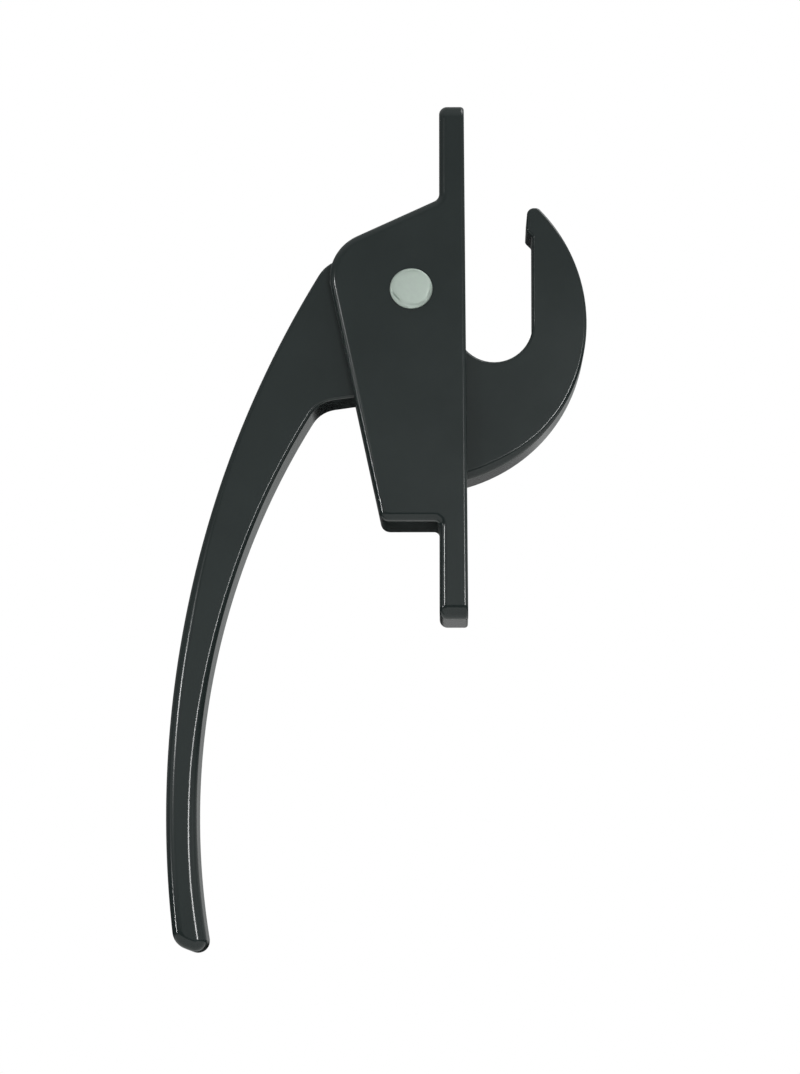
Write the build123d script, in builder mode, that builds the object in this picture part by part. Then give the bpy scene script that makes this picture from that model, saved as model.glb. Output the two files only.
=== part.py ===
from build123d import *
import os
from math import cos, radians, sin, sqrt, tan

os.makedirs("parts", exist_ok=True)

# Casement window handle, closed. Millimetres and degrees.
# The origin lies midway between the two screw holes, on the back of the mounting plate.
# +X leaves the plate's back towards the window frame, +Y runs along the pivot, +Z is up.

# Mounting plate
hole_spacing = 60.0
plate_length = 75.5
plate_width = 16.0
plate_thickness = 3.82
plate_taper = 0.41
ear_corner_radius = 2.0
screw_hole_diameter = 4.5
countersink_diameter = 8.4
countersink_angle = 90.0

# Pivot, from the origin
pivot_reach = 8.1
pivot_height = 10.3

# Fork, with distances taken square from the pivot to each of its edges
fork_top_distance = 10.6
fork_top_slope = 24.5
fork_front_distance = 11.2
fork_front_lean = 12.2
fork_web_thickness = 4.45
fork_brow_radius = 6.8
fork_foot_radius = 1.4
ear_root_radius_top = 1.2
ear_root_radius_foot = 0.8
cheek_thickness = 2.1
base_edge_radius = 1.15
base_back_edge_radius = 0.5
slot_corner_radius = 0.8
slot_edge_chamfer = 0.35

# Hub and hook, from the pivot
hub_radius = 7.9
hook_throat_width = 11.2
hook_throat_reach = 17.9
hook_throat_drop = 10.2
hook_side_thickness = 7.9
hook_root_depth = 15.8
hook_tip_width = 1.6
hook_tip_rise = 12.6
hook_tip_radius = 0.8
hook_tip_nose_radius = 1.0
nib_depth = 0.9
nib_rise = 9.2
nib_draft = 3.0
nib_radius = 0.5
nib_root_radius = 0.4
hook_edge_radius = 0.45

# Lever: two arcs that are furthest out at the grip
grip_set_out = 35.3
grip_drop = 75.6
grip_thickness = 4.5
lever_outer_bend = 150.5
lever_inner_bend = 110.0
shoulder_slope = 18.0
shoulder_radius = 5.0
neck_drop = 14.2
neck_slope = 8.0
neck_radius = 4.5
lever_tip_drop = 95.15
lever_tip_slant = 20.0
lever_tip_outer_radius = 2.8
lever_tip_inner_radius = 1.7
lever_edge_radius = 1.2

# Rivet and washers
rivet_diameter = 5.0
rivet_peened_diameter = 6.2
rivet_peened_height = 0.5
rivet_formed_diameter = 7.6
rivet_formed_height = 1.0
rivet_rim_chamfer = 0.25
peening_ring_diameter = 4.9
peening_ring_depth = 0.12
washer_diameter = 12.5
washer_thickness = 0.4

# Clearances
rivet_hole_clearance = 0.02
pivot_clearance = 0.05
washer_bore_clearance = 0.1
washer_face_clearance = 0.05
heel_stop_clearance = 0.15
swing_clearance = 0.55

# Sizes that follow from the ones above
slot_width = plate_width - 2 * cheek_thickness
lever_width = slot_width - 2 * (washer_thickness + washer_face_clearance)
plate_front = pivot_reach - plate_thickness
plate_top = plate_length / 2 - pivot_height
plate_foot = -plate_length / 2 - pivot_height
rivet_radius = rivet_diameter / 2

# Side view plane with its origin on the pivot, X square to the plate's front and Y up along it.
# The plate grows thicker towards its foot, so this plane leans from its back by the taper.
lean = radians(plate_taper)
side = Plane(origin=(-pivot_reach, 0, pivot_height), x_dir=(cos(lean), 0, -sin(lean)), z_dir=(0, -1, 0))
across = Axis(side.origin, side.x_dir)
pivot_axis = Axis((-pivot_reach, 0, pivot_height), (0, 1, 0))


def lines_meet(first, second):
    """Point where two lines meet, each given by the angle of its normal and its distance."""
    (angle_a, distance_a), (angle_b, distance_b) = first, second
    ax, ay = cos(radians(angle_a)), sin(radians(angle_a))
    bx, by = cos(radians(angle_b)), sin(radians(angle_b))
    span = ax * by - ay * bx
    return Vector((distance_a * by - distance_b * ay) / span, (ax * distance_b - bx * distance_a) / span)


def leave_circle(start, angle, center, radius):
    """Point where a line that runs from start at an angle leaves a circle."""
    heading = Vector(cos(radians(angle)), sin(radians(angle)))
    offset = start - center
    along = offset.dot(heading)
    return start + heading * (sqrt(along**2 - offset.dot(offset) + radius**2) - along)


def enter_circle(start, angle, center, radius):
    """Point where a line that runs from start at an angle comes into a circle."""
    return leave_circle(start, angle + 180, center, radius)


def round_corner(sketch, corner, radius):
    """Round the sketch's corner that lies nearest to a point."""
    fillet(sketch.vertices().sort_by_distance(corner)[0], radius)


def sharp_edges(part, smooth_angle=20):
    """Edges where two faces meet at more than a smooth angle."""
    found = ShapeList()
    for edge in part.edges():
        sides = [face for face in part.faces() if edge in face.edges()]
        normals = [face.normal_at(edge @ 0.5) for face in sides]
        if len(normals) == 2 and normals[0].get_angle(normals[1]) > smooth_angle:
            found.append(edge)
    return found


# Hook outline: throat, nib and tip, with one arc for its back
throat_radius = hook_throat_width / 2
throat_center = Vector(hook_throat_reach - throat_radius, throat_radius - hook_throat_drop)
throat_outer = throat_center + Vector(throat_radius, 0)
throat_inner = throat_center - Vector(throat_radius, 0)
throat_floor = throat_center - Vector(0, throat_radius)
nib_root = Vector(hook_throat_reach, nib_rise - nib_depth)
nib_foot = Vector(hook_throat_reach - nib_depth, nib_rise)
tip_nose = nib_foot + Vector(tan(radians(nib_draft)), 1) * (hook_tip_rise - nib_rise)
tip_back = tip_nose + Vector(hook_tip_width, 0)
hook_side = throat_outer + Vector(hook_side_thickness, 0)
hook_root = throat_floor - Vector(0, hook_root_depth)
hook_back = Edge.make_three_point_arc(tip_back, hook_side, hook_root)
hook_center = hook_back.arc_center
hook_sweep = hook_center.length + hook_back.radius

# Mounting base: plate, ears and fork in one casting
slot_drop = hook_sweep + swing_clearance
slot_rise = hub_radius + heel_stop_clearance
fork_foot_drop = slot_drop + fork_web_thickness
beyond = plate_length
fork_top = (90 + fork_top_slope, fork_top_distance)
fork_front = (180 + fork_front_lean, fork_front_distance)
fork_foot = (270, fork_foot_drop)
plate_face = (0, plate_front)
plate_back = (plate_taper, pivot_reach)
brow = lines_meet(fork_top, fork_front)
toe = lines_meet(fork_front, fork_foot)
ear_root_top = lines_meet(fork_top, plate_face)
ear_root_foot = Vector(plate_front, -fork_foot_drop)

with BuildPart() as mounting_base:
    with BuildSketch(side) as base_profile:
        with BuildLine():
            Polyline(
                lines_meet(plate_back, (90, plate_top)),
                (plate_front, plate_top),
                ear_root_top,
                brow,
                toe,
                ear_root_foot,
                (plate_front, plate_foot),
                lines_meet(plate_back, (270, -plate_foot)),
                close=True,
            )
        make_face()
        round_corner(base_profile, brow, fork_brow_radius)
        round_corner(base_profile, toe, fork_foot_radius)
        round_corner(base_profile, ear_root_top, ear_root_radius_top)
        round_corner(base_profile, ear_root_foot, ear_root_radius_foot)
    extrude(amount=plate_width / 2, both=True)
    plate_corners = mounting_base.edges().filter_by(across).group_by(Axis.Z)
    fillet(plate_corners[0] + plate_corners[-1], ear_corner_radius)
    rim = sharp_edges(mounting_base)
    back_rim = rim.group_by(Axis.X)[-1]
    fillet(back_rim, base_back_edge_radius)
    fillet(rim.filter_by(lambda edge: edge not in back_rim), base_edge_radius)

    # Slot for the lever: open at the fork's front and top, and through the plate for the hook
    with BuildSketch(side):
        with BuildLine():
            Polyline(
                (-beyond, -slot_drop),
                (pivot_reach + beyond, -slot_drop),
                (pivot_reach + beyond, slot_rise),
                (plate_front, slot_rise),
                (plate_front, beyond),
                (-beyond, beyond),
                close=True,
            )
        make_face()
    extrude(amount=slot_width / 2, both=True, mode=Mode.SUBTRACT)
    fillet(sharp_edges(mounting_base).filter_by(across), slot_corner_radius)
    slot_rim = sharp_edges(mounting_base).filter_by(lambda edge: not edge.is_interior)
    chamfer(slot_rim.group_by(Axis.X)[-1], slot_edge_chamfer)
    fork_rim = slot_rim.filter_by_position(across, -beyond, plate_front - slot_edge_chamfer)
    chamfer(fork_rim, slot_edge_chamfer)

    for height in (-hole_spacing / 2, hole_spacing / 2):
        depth = plate_thickness + (pivot_height - height) * tan(lean)
        with Locations(Plane(origin=(-depth, 0, height), x_dir=(0, 1, 0), z_dir=(-1, 0, 0))):
            CounterSinkHole(
                radius=screw_hole_diameter / 2,
                counter_sink_radius=countersink_diameter / 2,
                counter_sink_angle=countersink_angle,
            )
    with Locations(side.offset(plate_width / 2)):
        Hole(radius=rivet_radius + rivet_hole_clearance)

mounting_base.part.label = "mounting_base"
export_step(mounting_base.part, "parts/mounting_base.step")

# Lever arm: shoulder, neck, curved grip and slanted tip, with its inner end inside the hub
grip_outer = Vector(-grip_set_out, -grip_drop)
grip_inner = Vector(grip_thickness - grip_set_out, -grip_drop)
outer_center = grip_outer + Vector(lever_outer_bend, 0)
inner_center = grip_inner + Vector(lever_inner_bend, 0)
shoulder_start = Vector(0, hub_radius).rotate(Axis.Z, shoulder_slope)
shoulder = leave_circle(shoulder_start, 180 + shoulder_slope, outer_center, lever_outer_bend)
neck_start = Vector(0, -neck_drop)
neck = leave_circle(neck_start, 180 + neck_slope, inner_center, lever_inner_bend)
tip_middle = Vector(grip_thickness / 2 - grip_set_out, -lever_tip_drop)
tip_outer = leave_circle(tip_middle, 180 - lever_tip_slant, outer_center, lever_outer_bend)
tip_inner = enter_circle(tip_middle, -lever_tip_slant, inner_center, lever_inner_bend)

with BuildPart() as lever_arm:
    with BuildSketch(side) as arm_profile:
        with BuildLine():
            Polyline(neck, neck_start, shoulder_start, shoulder)
            ThreePointArc(shoulder, grip_outer, tip_outer)
            Line(tip_outer, tip_inner)
            ThreePointArc(tip_inner, grip_inner, neck)
        make_face()
        round_corner(arm_profile, shoulder, shoulder_radius)
        round_corner(arm_profile, neck, neck_radius)
        round_corner(arm_profile, tip_outer, lever_tip_outer_radius)
        round_corner(arm_profile, tip_inner, lever_tip_inner_radius)
    extrude(amount=lever_width / 2, both=True)
    fillet(lever_arm.faces().filter_by(Axis.Y).edges(), lever_edge_radius)

# Lever and hook: one casting. The heel beside the hub meets the slot's end when the handle is closed
arm_start = Vector(-hub_radius, 0).rotate(Axis.Z, fork_front_lean)
arm_corner = leave_circle(arm_start, 270 + fork_front_lean, hook_center, hook_back.radius)
hub_top = Vector(0, hub_radius)
heel = Vector(throat_inner.X, hub_radius)

with BuildPart() as lever_hook:
    with BuildSketch(side) as hook_profile:
        with BuildLine():
            CenterArc((0, 0), hub_radius, 90, 90 + fork_front_lean)
            Polyline(hub_top, heel, throat_inner)
            ThreePointArc(throat_inner, throat_floor, throat_outer)
            Polyline(throat_outer, nib_root, nib_foot, tip_nose, tip_back)
            ThreePointArc(tip_back, hook_side, arm_corner)
            Line(arm_corner, arm_start)
        make_face()
        round_corner(hook_profile, nib_root, nib_root_radius)
        round_corner(hook_profile, nib_foot, nib_radius)
        round_corner(hook_profile, tip_nose, hook_tip_nose_radius)
        round_corner(hook_profile, tip_back, hook_tip_radius)
    extrude(amount=lever_width / 2, both=True)
    hook_rim = lever_hook.faces().filter_by(Axis.Y).edges()
    fillet(hook_rim.filter_by_position(across, heel.X - hook_edge_radius, beyond), hook_edge_radius)
    add(lever_arm.part)
    with Locations(side.offset(lever_width / 2)):
        Hole(radius=rivet_radius + pivot_clearance)

lever_hook.part.label = "lever_hook"
export_step(lever_hook.part, "parts/lever_hook.step")

# Pivot rivet: flat peened end on the right, formed head on the left
rivet_peened_end = -plate_width / 2 - rivet_peened_height
rivet_formed_end = plate_width / 2 + rivet_formed_height

with BuildPart() as pivot_rivet:
    with BuildSketch(Plane(origin=pivot_axis.position, x_dir=(1, 0, 0), z_dir=(0, 0, 1))) as rivet_profile:
        with BuildLine():
            Polyline(
                (0, rivet_peened_end),
                (rivet_peened_diameter / 2, rivet_peened_end),
                (rivet_peened_diameter / 2, -plate_width / 2),
                (rivet_radius, -plate_width / 2),
                (rivet_radius, plate_width / 2),
                (rivet_formed_diameter / 2, plate_width / 2),
                (rivet_formed_diameter / 2, rivet_formed_end),
                (0, rivet_formed_end),
                close=True,
            )
        make_face()
        head_rims = rivet_profile.vertices().group_by(Axis.Y)
        chamfer(head_rims[0].sort_by(Axis.X)[-1], rivet_rim_chamfer)
        chamfer(head_rims[-1].sort_by(Axis.X)[-1], rivet_rim_chamfer)
        with Locations((peening_ring_diameter / 2, rivet_peened_end)):
            Rectangle(peening_ring_depth, peening_ring_depth, rotation=45, mode=Mode.SUBTRACT)
    revolve(axis=pivot_axis)

pivot_rivet.part.label = "pivot_rivet"
export_step(pivot_rivet.part, "parts/pivot_rivet.step")

# Thrust washers: one against the inner face of each cheek
for name, inner_face in (("thrust_washer_right", side.offset(slot_width / 2)),
                         ("thrust_washer_left", side.offset(washer_thickness - slot_width / 2))):
    with BuildPart() as thrust_washer:
        with BuildSketch(inner_face):
            Circle(washer_diameter / 2)
            Circle(rivet_radius + washer_bore_clearance, mode=Mode.SUBTRACT)
        extrude(amount=-washer_thickness)
    thrust_washer.part.label = name
    export_step(thrust_washer.part, f"parts/{name}.step")
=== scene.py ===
import cmath
import math

import bmesh
import bpy
import numpy as np
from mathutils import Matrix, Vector


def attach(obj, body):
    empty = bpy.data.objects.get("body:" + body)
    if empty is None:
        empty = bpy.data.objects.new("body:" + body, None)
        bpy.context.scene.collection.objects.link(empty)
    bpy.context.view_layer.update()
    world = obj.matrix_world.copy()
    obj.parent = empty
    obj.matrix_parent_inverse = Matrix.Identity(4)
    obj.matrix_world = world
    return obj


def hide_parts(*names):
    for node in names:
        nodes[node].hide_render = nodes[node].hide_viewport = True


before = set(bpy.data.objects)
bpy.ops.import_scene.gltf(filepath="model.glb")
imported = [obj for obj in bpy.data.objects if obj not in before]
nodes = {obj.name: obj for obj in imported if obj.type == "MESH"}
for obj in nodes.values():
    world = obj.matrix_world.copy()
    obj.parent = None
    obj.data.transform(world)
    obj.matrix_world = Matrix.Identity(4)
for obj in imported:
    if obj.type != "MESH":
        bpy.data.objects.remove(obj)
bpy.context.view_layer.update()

scene = bpy.context.scene
mm = 0.001


# camera and stage

photoCamera = {
    "target": Vector((-9.864, 0.0, -24.961)) * mm,
    "distance": 650.24 * mm,
    "elevation": -6.612,     # below the handle, looking up
    "azimuth": -0.589,
    "roll": -0.414,
    "focalPixels": 4442.0,
    "imageHeight": 1074,
    "sensorHeight": 24.0,
    "clipStart": 0.01,
}

studio = {
    "floorLevel": -220.0 * mm,
    "floorRadius": 0.60,
    "floorSegments": 96,
    "floorColour": (0.88, 0.88, 0.87, 1.0),
    "floorRoughness": 0.9,
    "backgroundColour": (1.0, 1.0, 1.0, 1.0),
    "roomColour": (0.97, 1.0, 0.99, 1.0),
    "roomLow": 0.005,        # below the floor's edge
    "roomLevel": 0.10,       # all around
    "roomHigh": 0.32,        # overhead
    "frontLow": 0.50,        # on the camera's side, near the horizon
    "frontHigh": 0.16,       # on the camera's side, higher up
    "backLevel": -0.06,      # straight behind
    "leftLevel": 0.12,       # from the left round to the back
    "wallLevel": 0.30,       # pale wall from the right round to the back
    # where each level begins and ends, along one axis of the direction
    "horizonZ": (-0.03, 0.04),
    "frontZ": (0.06, 0.19),
    "overheadZ": (0.35, 0.75),
    "rightX": (0.00, 0.07),
    "leftX": (-0.25, -0.06),
    "leftY": (-0.60, 0.40),
    "wallY": (-1.00, 0.30),
    "frontY": (-0.35, 0.05),
    "backY": (0.60, 0.95),
}

studioLamps = [
    # name, degrees right of the camera side, degrees up, distance, width, height, watts
    ("leftWindow", -44.0, 7.0, 0.90, 0.08, 0.07, 0.8),
    ("leftSlit", -71.0, -4.6, 3.00, 0.17, 0.06, 5.0),
    ("rightLamp", 14.5, 2.8, 0.95, 0.17, 0.08, 1.5),
    ("highSoftbox", 85.0, 58.0, 1.00, 0.60, 0.60, 4.0),
    ("earCard", 170.0, -25.0, 0.045, 0.014, 0.012, 0.00014),
    ("hookCard", 157.5, 2.6, 0.065, 0.030, 0.030, 0.00050),
]


def aimAt(obj, target):
    obj.rotation_euler = (target - obj.location).to_track_quat("-Z", "Y").to_euler()


def addCamera(spec):
    elevation, azimuth = math.radians(spec["elevation"]), math.radians(spec["azimuth"])
    ahead = Vector((
        math.sin(azimuth) * math.cos(elevation),
        math.cos(azimuth) * math.cos(elevation),
        -math.sin(elevation),
    ))
    lens = bpy.data.cameras.new("photoCamera")
    lens.sensor_fit = "VERTICAL"
    lens.sensor_height = spec["sensorHeight"]
    lens.lens = spec["focalPixels"] * spec["sensorHeight"] / spec["imageHeight"]
    lens.clip_start = spec["clipStart"]
    camera = bpy.data.objects.new("photoCamera", lens)
    camera.location = spec["target"] - ahead * spec["distance"]
    aimAt(camera, spec["target"])
    camera.rotation_euler.rotate_axis("Z", math.radians(spec["roll"]))
    scene.collection.objects.link(camera)
    scene.camera = camera


def addLamp(name, right, up, distance, width, height, watts):
    right, up = math.radians(right), math.radians(up)
    lamp = bpy.data.lights.new(name, "AREA")
    lamp.shape = "RECTANGLE"
    lamp.size, lamp.size_y = width, height
    lamp.energy = watts
    holder = bpy.data.objects.new(name, lamp)
    middle = photoCamera["target"]
    holder.location = middle + distance * Vector((
        math.sin(right) * math.cos(up), -math.cos(right) * math.cos(up), math.sin(up)))
    aimAt(holder, middle)
    scene.collection.objects.link(holder)


def addFloor(spec):
    mesh = bpy.data.meshes.new("studioFloor")
    disc = bmesh.new()
    bmesh.ops.create_circle(
        disc, cap_ends=True, segments=spec["floorSegments"], radius=spec["floorRadius"])
    bmesh.ops.translate(disc, verts=disc.verts, vec=(0.0, 0.0, spec["floorLevel"]))
    disc.to_mesh(mesh)
    disc.free()
    floor = bpy.data.objects.new("studioFloor", mesh)
    scene.collection.objects.link(floor)
    paper = bpy.data.materials.new("floorPaper")
    paper.use_nodes = True
    surface = paper.node_tree.nodes["Principled BSDF"]
    surface.inputs["Base Color"].default_value = spec["floorColour"]
    surface.inputs["Roughness"].default_value = spec["floorRoughness"]
    mesh.materials.append(paper)


def addWorld(spec):
    world = bpy.data.worlds.new("whiteStudio")
    scene.world = world
    world.use_nodes = True
    tree = world.node_tree
    tree.nodes.clear()
    link = tree.links.new
    where = tree.nodes.new("ShaderNodeTexCoord")
    axes = tree.nodes.new("ShaderNodeSeparateXYZ")
    link(where.outputs["Generated"], axes.inputs["Vector"])

    def step(axis, span, low, high):
        ease = tree.nodes.new("ShaderNodeMapRange")
        ease.interpolation_type = "SMOOTHSTEP"
        ease.inputs["From Min"].default_value, ease.inputs["From Max"].default_value = span
        ease.inputs["To Min"].default_value, ease.inputs["To Max"].default_value = low, high
        link(axes.outputs[axis], ease.inputs["Value"])
        return ease.outputs["Result"]

    def combine(operation, first, second):
        node = tree.nodes.new("ShaderNodeMath")
        node.operation = operation
        link(first, node.inputs[0])
        link(second, node.inputs[1])
        return node.outputs["Value"]

    aboveFloor = step("Z", spec["horizonZ"], 0.0, 1.0)
    lower = step("Z", spec["horizonZ"], spec["roomLow"], 0.0)
    overhead = step("Z", spec["overheadZ"], spec["roomLevel"], spec["roomHigh"])
    straightBack = step("Y", spec["backY"], 0.0, spec["backLevel"])
    leftWall = combine(
        "MULTIPLY", step("X", spec["leftX"], spec["leftLevel"], 0.0), step("Y", spec["leftY"], 0.0, 1.0))
    around = combine("ADD", leftWall, combine("ADD", overhead, straightBack))
    inFront = combine(
        "MULTIPLY", step("Y", spec["frontY"], 1.0, 0.0),
        step("Z", spec["frontZ"], spec["frontLow"], spec["frontHigh"]))
    upper = combine("ADD", inFront, around)
    toRight = combine("MULTIPLY", step("X", spec["rightX"], 0.0, 1.0), aboveFloor)
    wall = combine("MULTIPLY", toRight, step("Y", spec["wallY"], 0.0, spec["wallLevel"]))
    room = combine("ADD", combine("ADD", combine("MULTIPLY", aboveFloor, upper), lower), wall)
    fill = tree.nodes.new("ShaderNodeBackground")
    fill.inputs["Color"].default_value = spec["roomColour"]
    link(room, fill.inputs["Strength"])
    white = tree.nodes.new("ShaderNodeBackground")
    white.inputs["Color"].default_value = spec["backgroundColour"]
    path = tree.nodes.new("ShaderNodeLightPath")
    seen = combine("MAXIMUM", path.outputs["Is Camera Ray"], path.outputs["Is Transmission Ray"])
    mix = tree.nodes.new("ShaderNodeMixShader")
    link(seen, mix.inputs["Fac"])
    link(fill.outputs["Background"], mix.inputs[1])
    link(white.outputs["Background"], mix.inputs[2])
    out = tree.nodes.new("ShaderNodeOutputWorld")
    link(mix.outputs["Shader"], out.inputs["Surface"])


scene.view_settings.view_transform = "Standard"
addCamera(photoCamera)
addFloor(studio)
addWorld(studio)
for lampSpec in studioLamps:
    addLamp(*lampSpec)
print("stage: camera, floor, world and", len(studioLamps), "lamps")


# materials

blackCoat = {
    "colour": (0.0190, 0.0266, 0.0262, 1.0),
    "colourThin": (0.0213, 0.0298, 0.0292, 1.0),
    "cloudScale": 90.0,
    "cloudDetail": 4.0,
    "peelScale": 1300.0,
    "peelDetail": 2.0,
    "peelHeight": 0.0008 * mm,
    "roughnessLow": 0.15,
    "roughnessHigh": 0.18,
    "refraction": 1.5,
}

rivetSteel = {
    "colour": (0.575, 0.665, 0.60, 1.0),
    "colourDull": (0.535, 0.615, 0.56, 1.0),
    # painted shade: colour laid into the hammer marks' grooves to darken them where shade falls
    "colourPaintedShade": (0.20, 0.25, 0.22, 1.0),
    "paintedShadeStrength": 0.45,
    "grainScale": 900.0,
    "grainDetail": 3.0,
    "grainRoughness": 0.6,
    "grainHeight": 0.03 * mm,
    "roughnessLow": 0.42,
    "roughnessHigh": 0.60,
    "metallic": 0.6,
}

washerNylon = {
    "colour": (0.62, 0.60, 0.54, 1.0),
    "colourDull": (0.50, 0.48, 0.43, 1.0),
    "cloudScale": 400.0,
    "cloudDetail": 3.0,
    "roughnessLow": 0.45,
    "roughnessHigh": 0.60,
}


def newFinish(name):
    finish = bpy.data.materials.new(name)
    finish.use_nodes = True
    return finish, finish.node_tree, finish.node_tree.nodes["Principled BSDF"]


def noiseOn(tree, scale, detail, roughness=0.5):
    where = tree.nodes.new("ShaderNodeTexCoord")
    noise = tree.nodes.new("ShaderNodeTexNoise")
    noise.inputs["Scale"].default_value = scale
    noise.inputs["Detail"].default_value = detail
    noise.inputs["Roughness"].default_value = roughness
    tree.links.new(where.outputs["Object"], noise.inputs["Vector"])
    return noise.outputs["Fac"]


def rangeOf(tree, value, low, high, fromLow=0.3, fromHigh=0.7):
    spread = tree.nodes.new("ShaderNodeMapRange")
    spread.inputs["From Min"].default_value = fromLow
    spread.inputs["From Max"].default_value = fromHigh
    spread.inputs["To Min"].default_value = low
    spread.inputs["To Max"].default_value = high
    tree.links.new(value, spread.inputs["Value"])
    return spread.outputs["Result"]


def blendColours(tree, value, first, second, low=0.35, high=0.65):
    ramp = tree.nodes.new("ShaderNodeValToRGB")
    ramp.color_ramp.elements[0].position = low
    ramp.color_ramp.elements[0].color = first
    ramp.color_ramp.elements[1].position = high
    ramp.color_ramp.elements[1].color = second
    tree.links.new(value, ramp.inputs["Fac"])
    return ramp.outputs["Color"]


def bumpFrom(tree, value, height):
    bump = tree.nodes.new("ShaderNodeBump")
    bump.inputs["Distance"].default_value = height
    tree.links.new(value, bump.inputs["Height"])
    return bump.outputs["Normal"]


def roughen(tree, value, surface, spec):
    spread = rangeOf(tree, value, spec["roughnessLow"], spec["roughnessHigh"])
    tree.links.new(spread, surface.inputs["Roughness"])


def makeBlackCoat(spec):
    finish, tree, coat = newFinish("blackCoat")
    clouds = noiseOn(tree, spec["cloudScale"], spec["cloudDetail"])
    peel = noiseOn(tree, spec["peelScale"], spec["peelDetail"])
    tint = blendColours(tree, clouds, spec["colour"], spec["colourThin"])
    tree.links.new(tint, coat.inputs["Base Color"])
    roughen(tree, clouds, coat, spec)
    tree.links.new(bumpFrom(tree, peel, spec["peelHeight"]), coat.inputs["Normal"])
    coat.inputs["IOR"].default_value = spec["refraction"]
    return finish


def makeRivetSteel(spec):
    finish, tree, steel = newFinish("rivetSteel")
    grain = noiseOn(tree, spec["grainScale"], spec["grainDetail"], spec["grainRoughness"])
    # painted shade: the hammer marks' grooves are darkened in the base colour, standing in for shade in
    # the recess
    paintedShadeSource = tree.nodes.new("ShaderNodeAttribute")
    paintedShadeSource.attribute_name = "paintedGrooveShade"
    # colour sockets of the mix node: factor 0, first 6, second 7, result 2
    shade = tree.nodes.new("ShaderNodeMix")
    shade.data_type = "RGBA"
    paintedShadeFactor = rangeOf(tree, paintedShadeSource.outputs["Fac"], 0.0, spec["paintedShadeStrength"], 0.0, 1.0)
    tree.links.new(paintedShadeFactor, shade.inputs[0])
    tree.links.new(blendColours(tree, grain, spec["colourDull"], spec["colour"]), shade.inputs[6])
    shade.inputs[7].default_value = spec["colourPaintedShade"]
    tree.links.new(shade.outputs[2], steel.inputs["Base Color"])
    roughen(tree, grain, steel, spec)
    tree.links.new(bumpFrom(tree, grain, spec["grainHeight"]), steel.inputs["Normal"])
    steel.inputs["Metallic"].default_value = spec["metallic"]
    return finish


def makeWasherNylon(spec):
    finish, tree, nylon = newFinish("washerNylon")
    clouds = noiseOn(tree, spec["cloudScale"], spec["cloudDetail"])
    tint = blendColours(tree, clouds, spec["colourDull"], spec["colour"])
    tree.links.new(tint, nylon.inputs["Base Color"])
    roughen(tree, clouds, nylon, spec)
    return finish


def dress(node, finish):
    for slot in nodes[node].material_slots:
        slot.material = finish


coatFinish = makeBlackCoat(blackCoat)
steelFinish = makeRivetSteel(rivetSteel)
nylonFinish = makeWasherNylon(washerNylon)
dress("mounting_base", coatFinish)
dress("thrust_washer_right", nylonFinish)
dress("thrust_washer_left", nylonFinish)
print("finishes: black coat, rivet steel, washer nylon")


# lever and hook: one casting, its rim growing rounder towards the grip

leverHook = {
    "pivot": Vector((-8.1, 0.0, 10.3)),
    "lean": 0.41,
    "halfWidth": 5.45,
    "bore": 2.55,
    "hub": 7.9,
    "throatWidth": 11.2,
    "throatReach": 17.9,
    "throatDrop": 10.2,
    "sideThickness": 7.9,
    "rootDepth": 15.8,
    "tipWidth": 1.6,
    "tipRise": 12.6,
    "nibDepth": 0.9,
    "nibRise": 9.2,
    "nibDraft": 3.0,
    "armLean": 12.2,
    "gripOut": 35.3,
    "gripDrop": 75.6,
    "gripThickness": 4.5,
    "outerBend": 150.5,
    "innerBend": 110.0,
    "shoulderSlope": 18.0,
    "neckDrop": 14.2,
    "neckSlope": 8.0,
    "tipDrop": 95.15,
    "tipSlant": 20.0,
    # radius of each corner of the outline
    "shoulderCorner": 5.0,
    "tipOuterCorner": 2.8,
    "tipInnerCorner": 1.7,
    "neckCorner": 4.5,
    "pitCorner": 1.5,
    "armCorner": 0.9,
    "tipBackCorner": 0.8,
    "tipNoseCorner": 1.0,
    "nibCorner": 0.5,
    "nibRootCorner": 0.4,
    "heelCorner": 0.9,
    # height against the pivot, rim radius there
    "hookRim": [(0.0, 0.45)],
    "outerRim": [(-70.0, 1.62), (-48.0, 1.62), (-22.0, 0.75), (2.0, 0.50)],
    "innerRim": [
        (-86.0, 1.56), (-78.0, 1.42), (-69.0, 1.26), (-60.0, 0.98),
        (-51.0, 0.76), (-40.0, 0.60), (-14.0, 0.46),
    ],
    "backRim": [(-26.0, 1.35), (-23.7, 1.05), (-21.0, 0.70), (-17.0, 0.50), (-10.0, 0.45)],
    "rimSteps": 8,
    "boreSectors": 64,
    "flatFacing": 0.9999,     # a face that points this much sideways belongs to a flat side
}

outlineSteps = {
    "trace": 0.02,            # between the points that trace a stretch
    "straight": 4.0,          # between the points that are kept on a straight
    "bend": 1.0,              # between those on a bend, at most
    "bendShare": 0.12,        # the same as a share of the bend's radius
    "cornerReach": 900,       # traced points that a corner may take from the next stretch
}


def straight(start, end):
    count = max(2, int(abs(end - start) / outlineSteps["trace"]))
    points = start + (end - start) * np.linspace(0.0, 1.0, count)
    heading = (end - start) / abs(end - start)
    return points, np.full(count, heading), outlineSteps["straight"]


def bend(center, radius, start, end):
    count = max(8, int(abs(math.radians(end - start)) * radius / outlineSteps["trace"]))
    turns = np.exp(1j * np.radians(np.linspace(start, end, count)))
    headings = 1j * turns * math.copysign(1.0, end - start)
    spacing = min(outlineSteps["bend"], radius * outlineSteps["bendShare"])
    return center + radius * turns, headings, spacing


def degreesOf(point):
    return math.degrees(cmath.phase(point))


def meetCircle(start, angle, center, radius):
    heading = cmath.rect(1.0, math.radians(angle))
    along = ((start - center) * heading.conjugate()).real
    return start + heading * (math.sqrt(along ** 2 - abs(start - center) ** 2 + radius ** 2) - along)


def circleThrough(a, b, c):
    w = (c - a) / (b - a)
    center = a + (b - a) * (w - abs(w) ** 2) / (2j * w.imag)
    return center, abs(a - center)


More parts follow.
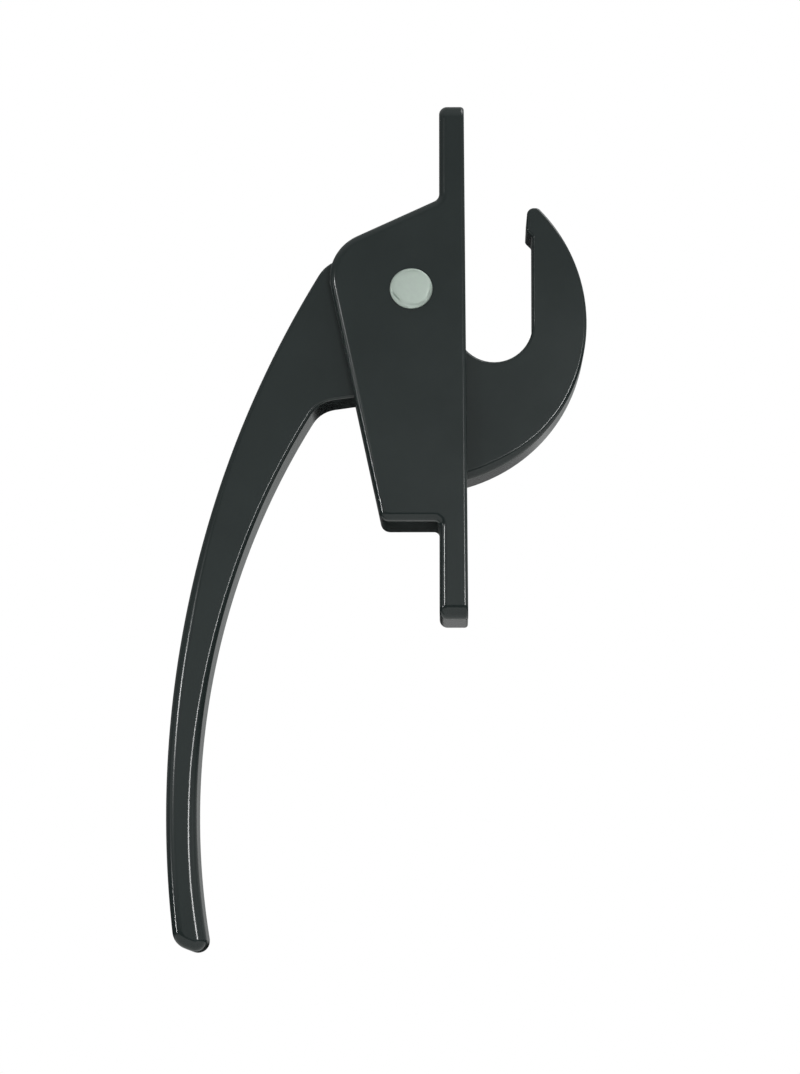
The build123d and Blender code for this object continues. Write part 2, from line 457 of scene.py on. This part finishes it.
def roundBetween(first, second, radius):
    turn = math.copysign(1.0, (second[1][0] * first[1][-1].conjugate()).imag)
    centers = first[0] + 1j * turn * radius * first[1]
    reach = min(len(second[0]), outlineSteps["cornerReach"])
    for i in range(len(centers) - 1, -1, -1):
        gaps = abs(second[0][:reach] - centers[i])
        if gaps.min() >= radius:
            break
    j = int(gaps.argmin())
    start = degreesOf(first[0][i] - centers[i])
    sweep = (degreesOf(second[0][j] - centers[i]) - start) * turn % 360.0
    arc = bend(centers[i], radius, start, start + turn * sweep)
    kept = [part[:i + 1] for part in first[:2]] + [first[2]]
    rest = [part[j:] for part in second[:2]] + [second[2]]
    return kept, arc, rest


def leverOutline(spec):
    hub = spec["hub"]
    throat = spec["throatWidth"] / 2
    throatCenter = complex(spec["throatReach"] - throat, throat - spec["throatDrop"])
    nibRoot = complex(spec["throatReach"], spec["nibRise"] - spec["nibDepth"])
    nibFoot = complex(spec["throatReach"] - spec["nibDepth"], spec["nibRise"])
    noseSlope = complex(math.tan(math.radians(spec["nibDraft"])), 1.0)
    tipNose = nibFoot + noseSlope * (spec["tipRise"] - spec["nibRise"])
    tipBack = tipNose + spec["tipWidth"]
    hookSide = throatCenter + throat + spec["sideThickness"]
    hookRoot = throatCenter - 1j * (throat + spec["rootDepth"])
    hookCenter, hookRadius = circleThrough(tipBack, hookSide, hookRoot)
    outerCenter = complex(spec["outerBend"] - spec["gripOut"], -spec["gripDrop"])
    innerCenter = complex(
        spec["gripThickness"] - spec["gripOut"] + spec["innerBend"], -spec["gripDrop"])
    shoulderStart = cmath.rect(hub, math.radians(90.0 + spec["shoulderSlope"]))
    shoulder = meetCircle(
        shoulderStart, 180.0 + spec["shoulderSlope"], outerCenter, spec["outerBend"])
    neckStart = complex(0.0, -spec["neckDrop"])
    neck = meetCircle(neckStart, 180.0 + spec["neckSlope"], innerCenter, spec["innerBend"])
    tipMiddle = complex(spec["gripThickness"] / 2 - spec["gripOut"], -spec["tipDrop"])
    tipOuter = meetCircle(tipMiddle, 180.0 - spec["tipSlant"], outerCenter, spec["outerBend"])
    tipInner = meetCircle(tipMiddle, 180.0 - spec["tipSlant"], innerCenter, spec["innerBend"])
    armStart = cmath.rect(hub, math.radians(180.0 + spec["armLean"]))
    armHeading = cmath.rect(1.0, math.radians(270.0 + spec["armLean"]))
    armCorner = meetCircle(armStart, 270.0 + spec["armLean"], hookCenter, hookRadius)
    neckHeading = cmath.rect(1.0, math.radians(spec["neckSlope"]))
    offset = ((armStart - neck) * armHeading.conjugate()).imag
    armPit = neck + neckHeading * (offset / (neckHeading * armHeading.conjugate()).imag)
    heel = complex(throatCenter.real - throat, hub)
    backStart = degreesOf(armCorner - hookCenter)
    backSweep = (degreesOf(tipBack - hookCenter) - backStart) % 360.0

    def arcBetween(center, radius, start, end):
        angles = [degreesOf(point - center) % 360.0 for point in (start, end)]
        return bend(center, radius, *angles)

    outerArc = arcBetween(outerCenter, spec["outerBend"], shoulder, tipOuter)
    innerArc = arcBetween(innerCenter, spec["innerBend"], tipInner, neck)
    backArc = bend(hookCenter, hookRadius, backStart, backStart + backSweep)
    hookRim, outerRim, innerRim = spec["hookRim"], spec["outerRim"], spec["innerRim"]
    # each stretch of the outline, its rim, and the radius of the corner at its end
    runs = [
        (bend(0j, hub, 90.0, 90.0 + spec["shoulderSlope"]), hookRim, 0.0),
        (straight(shoulderStart, shoulder), outerRim, spec["shoulderCorner"]),
        (outerArc, outerRim, spec["tipOuterCorner"]),
        (straight(tipOuter, tipInner), outerRim, spec["tipInnerCorner"]),
        (innerArc, innerRim, spec["neckCorner"]),
        (straight(neck, armPit), innerRim, spec["pitCorner"]),
        (straight(armPit, armCorner), hookRim, spec["armCorner"]),
        (backArc, spec["backRim"], spec["tipBackCorner"]),
        (straight(tipBack, tipNose), hookRim, spec["tipNoseCorner"]),
        (straight(tipNose, nibFoot), hookRim, spec["nibCorner"]),
        (straight(nibFoot, nibRoot), hookRim, spec["nibRootCorner"]),
        (straight(nibRoot, throatCenter + throat), hookRim, 0.0),
        (bend(throatCenter, throat, 0.0, -180.0), hookRim, 0.0),
        (straight(throatCenter - throat, heel), hookRim, spec["heelCorner"]),
        (straight(heel, complex(0.0, hub)), hookRim, 0.0),
    ]
    stretches = []
    current, rim, corner = runs[0]
    for following, nextRim, nextCorner in runs[1:]:
        if corner:
            current, arc, following = roundBetween(current, following, corner)
            stretches += [(current, rim, rim), (arc, rim, nextRim)]
        else:
            stretches.append((current, rim, rim))
        current, rim, corner = following, nextRim, nextCorner
    stretches.append((current, rim, rim))
    points, headings, radii = [], [], []
    for (run, heading, spacing), rimHere, rimNext in stretches:
        count = max(2, int(round(len(run) * outlineSteps["trace"] / spacing)) + 1)
        share = np.linspace(0.0, 1.0, count)
        picks = np.round(share * (len(run) - 1)).astype(int)
        here = np.interp(run[picks].imag, *zip(*rimHere))
        there = np.interp(run[picks].imag, *zip(*rimNext))
        points.append(run[picks][:-1])
        headings.append(heading[picks][:-1])
        radii.append((here * (1.0 - share) + there * share)[:-1])
    return np.concatenate(points), np.concatenate(headings), np.concatenate(radii)


def makeLever(spec):
    points, headings, radii = leverOutline(spec)
    lean = math.radians(spec["lean"])
    across = Vector((math.cos(lean), 0.0, -math.sin(lean)))
    up = Vector((math.sin(lean), 0.0, math.cos(lean)))
    inward = 1j * headings
    form = bmesh.new()
    normals = {}

    def ring(side, angle):
        tilt = math.radians(angle)
        level = side * (spec["halfWidth"] - radii * (1.0 - math.sin(tilt)))
        placed = points + inward * radii * (1.0 - math.cos(tilt))
        verts = []
        for flat, out, y in zip(placed, -inward, level):
            spot = spec["pivot"] + across * flat.real + up * flat.imag + Vector((0.0, y, 0.0))
            vert = form.verts.new(spot * mm)
            outward = (across * out.real + up * out.imag) * math.cos(tilt)
            normals[vert] = outward + Vector((0.0, side * math.sin(tilt), 0.0))
            verts.append(vert)
        return verts

    def bridge(first, second):
        for k in range(len(first)):
            n = (k + 1) % len(first)
            form.faces.new((first[k], first[n], second[n], second[k]))

    steps = [90.0 * k / spec["rimSteps"] for k in range(spec["rimSteps"] + 1)]
    rings = [ring(-1.0, angle) for angle in reversed(steps)]
    rings += [ring(1.0, angle) for angle in steps]
    for first, second in zip(rings, rings[1:]):
        bridge(first, second)
    turns = [2.0 * math.pi * k / spec["boreSectors"] for k in range(spec["boreSectors"])]
    bores = []
    for y in (-spec["halfWidth"], spec["halfWidth"]):
        spots = [Vector((spec["bore"] * math.cos(t), y, spec["bore"] * math.sin(t))) for t in turns]
        bores.append([form.verts.new((spec["pivot"] + spot) * mm) for spot in spots])
    bridge(*bores)
    for outer, inner in zip((rings[0], rings[-1]), bores):
        edges = []
        for loop in (outer, inner):
            for k, vert in enumerate(loop):
                nextVert = loop[(k + 1) % len(loop)]
                pair = (vert, nextVert)
                edges.append(form.edges.get(pair) or form.edges.new(pair))
        bmesh.ops.triangle_fill(form, use_beauty=True, edges=edges)
    bmesh.ops.recalc_face_normals(form, faces=form.faces)
    form.verts.index_update()
    facing = {vert.index: normal for vert, normal in normals.items()}
    mesh = bpy.data.meshes.new("leverHookCasting")
    form.to_mesh(mesh)
    form.free()
    mesh.polygons.foreach_set("use_smooth", [True] * len(mesh.polygons))
    loopNormals = []
    for polygon in mesh.polygons:
        flat = polygon.normal.copy()
        for index in polygon.vertices:
            onSide = abs(flat.y) > spec["flatFacing"]
            loopNormals.append(flat if onSide else facing.get(index, flat))
    mesh.normals_split_custom_set(loopNormals)
    casting = bpy.data.objects.new("leverHookCasting", mesh)
    scene.collection.objects.link(casting)
    return casting


leverPiece = makeLever(leverHook)
leverPiece.data.materials.append(coatFinish)
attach(leverPiece, "lever")
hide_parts("lever_hook")
print("lever and hook:", len(leverPiece.data.polygons), "faces")


# pivot rivet: formed head on the far side, hammered pad with an uneven edge on the near side

pivotRivet = {
    "pivot": leverHook["pivot"],
    "shaft": 2.5,
    "cheekFace": 8.0,
    # radius, height along the pivot
    "formedHead": [(3.25, 9.0), (3.52, 8.95), (3.71, 8.82), (3.79, 8.64), (3.79, 8.0)],
    "peenedHead": [(2.99, -8.0), (3.09, -8.10), (3.10, -8.24), (3.07, -8.34), (2.99, -8.40)],
    # clock angle of the pad's edge, its radius there
    "padEdge": [
        (0, 2.52), (30, 2.62), (60, 2.74), (85, 2.70), (110, 2.56), (130, 2.58), (150, 2.50),
        (180, 2.34), (205, 2.42), (235, 2.26), (258, 2.50), (285, 2.72), (315, 2.72),
        (340, 2.60), (360, 2.52),
    ],
    # distance in from the pad's edge, height along the pivot
    "padRim": [(0.0, -8.47), (0.15, -8.49), (0.40, -8.50)],
    # clock angle, how deep the hammer's mark is along the pad's edge there; the same values set how much
    # painted shade darkens the mark's groove
    "marksAndPaintedShade": [
        (0, 0.45), (16, 0.40), (24, 0.0), (70, 0.0), (80, 0.50), (116, 0.60), (126, 0.15),
        (136, 0.50), (156, 0.50), (166, 0.35), (190, 0.35), (198, 0.0), (216, 0.05),
        (226, 1.0), (256, 1.0), (268, 0.05), (344, 0.0), (352, 0.45), (360, 0.45),
    ],
    "markDepth": 0.12,
    "markWidth": 0.42,
    "markLimit": 2.95,
    "markEdgeLevel": -8.44,
    "markFloorLevel": -8.455,
    "markFloorShare": 0.4,    # how far across the mark its deepest line runs
    "easeSectors": 3,         # to each side, when the tables are smoothed
    "peenedShift": Vector((0.20, 0.0, 0.16)),
    "peenedSquash": 0.955,
    "sectors": 144,
    "sharpAngle": 25.0,
}


def makeRivet(spec):
    form = bmesh.new()
    clock = [360.0 * k / spec["sectors"] for k in range(spec["sectors"])]

    def around(table):
        ease = spec["easeSectors"]
        values = np.interp(clock, *zip(*table))
        wrapped = np.concatenate((values[-ease:], values, values[:ease]))
        window = 2 * ease + 1
        return np.convolve(wrapped, np.ones(window) / window, "valid")

    padEdge, marksAndPaintedShade = around(spec["padEdge"]), around(spec["marksAndPaintedShade"])
    shaft, cheek = spec["shaft"], spec["cheekFace"]
    profile = spec["formedHead"] + [(shaft, cheek), (shaft, -cheek)] + spec["peenedHead"]
    whole = np.ones(spec["sectors"])
    circles = [(radius * whole, y * whole) for radius, y in profile]
    markEdge = np.minimum(padEdge + spec["markWidth"], spec["markLimit"])
    markFloor = padEdge + spec["markWidth"] * spec["markFloorShare"]
    circles.append((markEdge, spec["markEdgeLevel"] * whole))
    markRing = len(circles)
    circles.append((markFloor, spec["markFloorLevel"] + marksAndPaintedShade * spec["markDepth"]))
    circles += [(padEdge - inset, y * whole) for inset, y in spec["padRim"]]

    def place(radius, angle, y):
        turn = math.radians(angle)
        across, up = radius * math.sin(turn), radius * math.cos(turn)
        if y < -cheek or y == -cheek and radius > shaft:
            spot = spec["peenedShift"] + Vector((across, y, up * spec["peenedSquash"]))
        else:
            spot = Vector((across, y, up))
        return (spec["pivot"] + spot) * mm

    rings = []
    for radii, levels in circles:
        rings.append([form.verts.new(place(*spot)) for spot in zip(radii, clock, levels)])
    for first, second in zip(rings, rings[1:]):
        for k in range(spec["sectors"]):
            n = (k + 1) % spec["sectors"]
            form.faces.new((first[k], first[n], second[n], second[k]))
    form.faces.new(rings[0])
    form.faces.new(rings[-1])
    bmesh.ops.recalc_face_normals(form, faces=form.faces)
    mesh = bpy.data.meshes.new("pivotRivetPeened")
    form.to_mesh(mesh)
    form.free()
    mesh.polygons.foreach_set("use_smooth", [True] * len(mesh.polygons))
    mesh.set_sharp_from_angle(angle=math.radians(spec["sharpAngle"]))
    # painted shade: the deepest ring of each hammer mark carries how much its groove is darkened in the
    # colour
    shade = mesh.attributes.new("paintedGrooveShade", "FLOAT", "POINT")
    for k, paintedShadeLevel in enumerate(marksAndPaintedShade):
        shade.data[markRing * spec["sectors"] + k].value = paintedShadeLevel
    rivet = bpy.data.objects.new("pivotRivetPeened", mesh)
    scene.collection.objects.link(rivet)
    return rivet


rivetPiece = makeRivet(pivotRivet)
rivetPiece.data.materials.append(steelFinish)
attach(rivetPiece, "base")
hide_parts("pivot_rivet")
print("rivet:", len(rivetPiece.data.polygons), "faces")
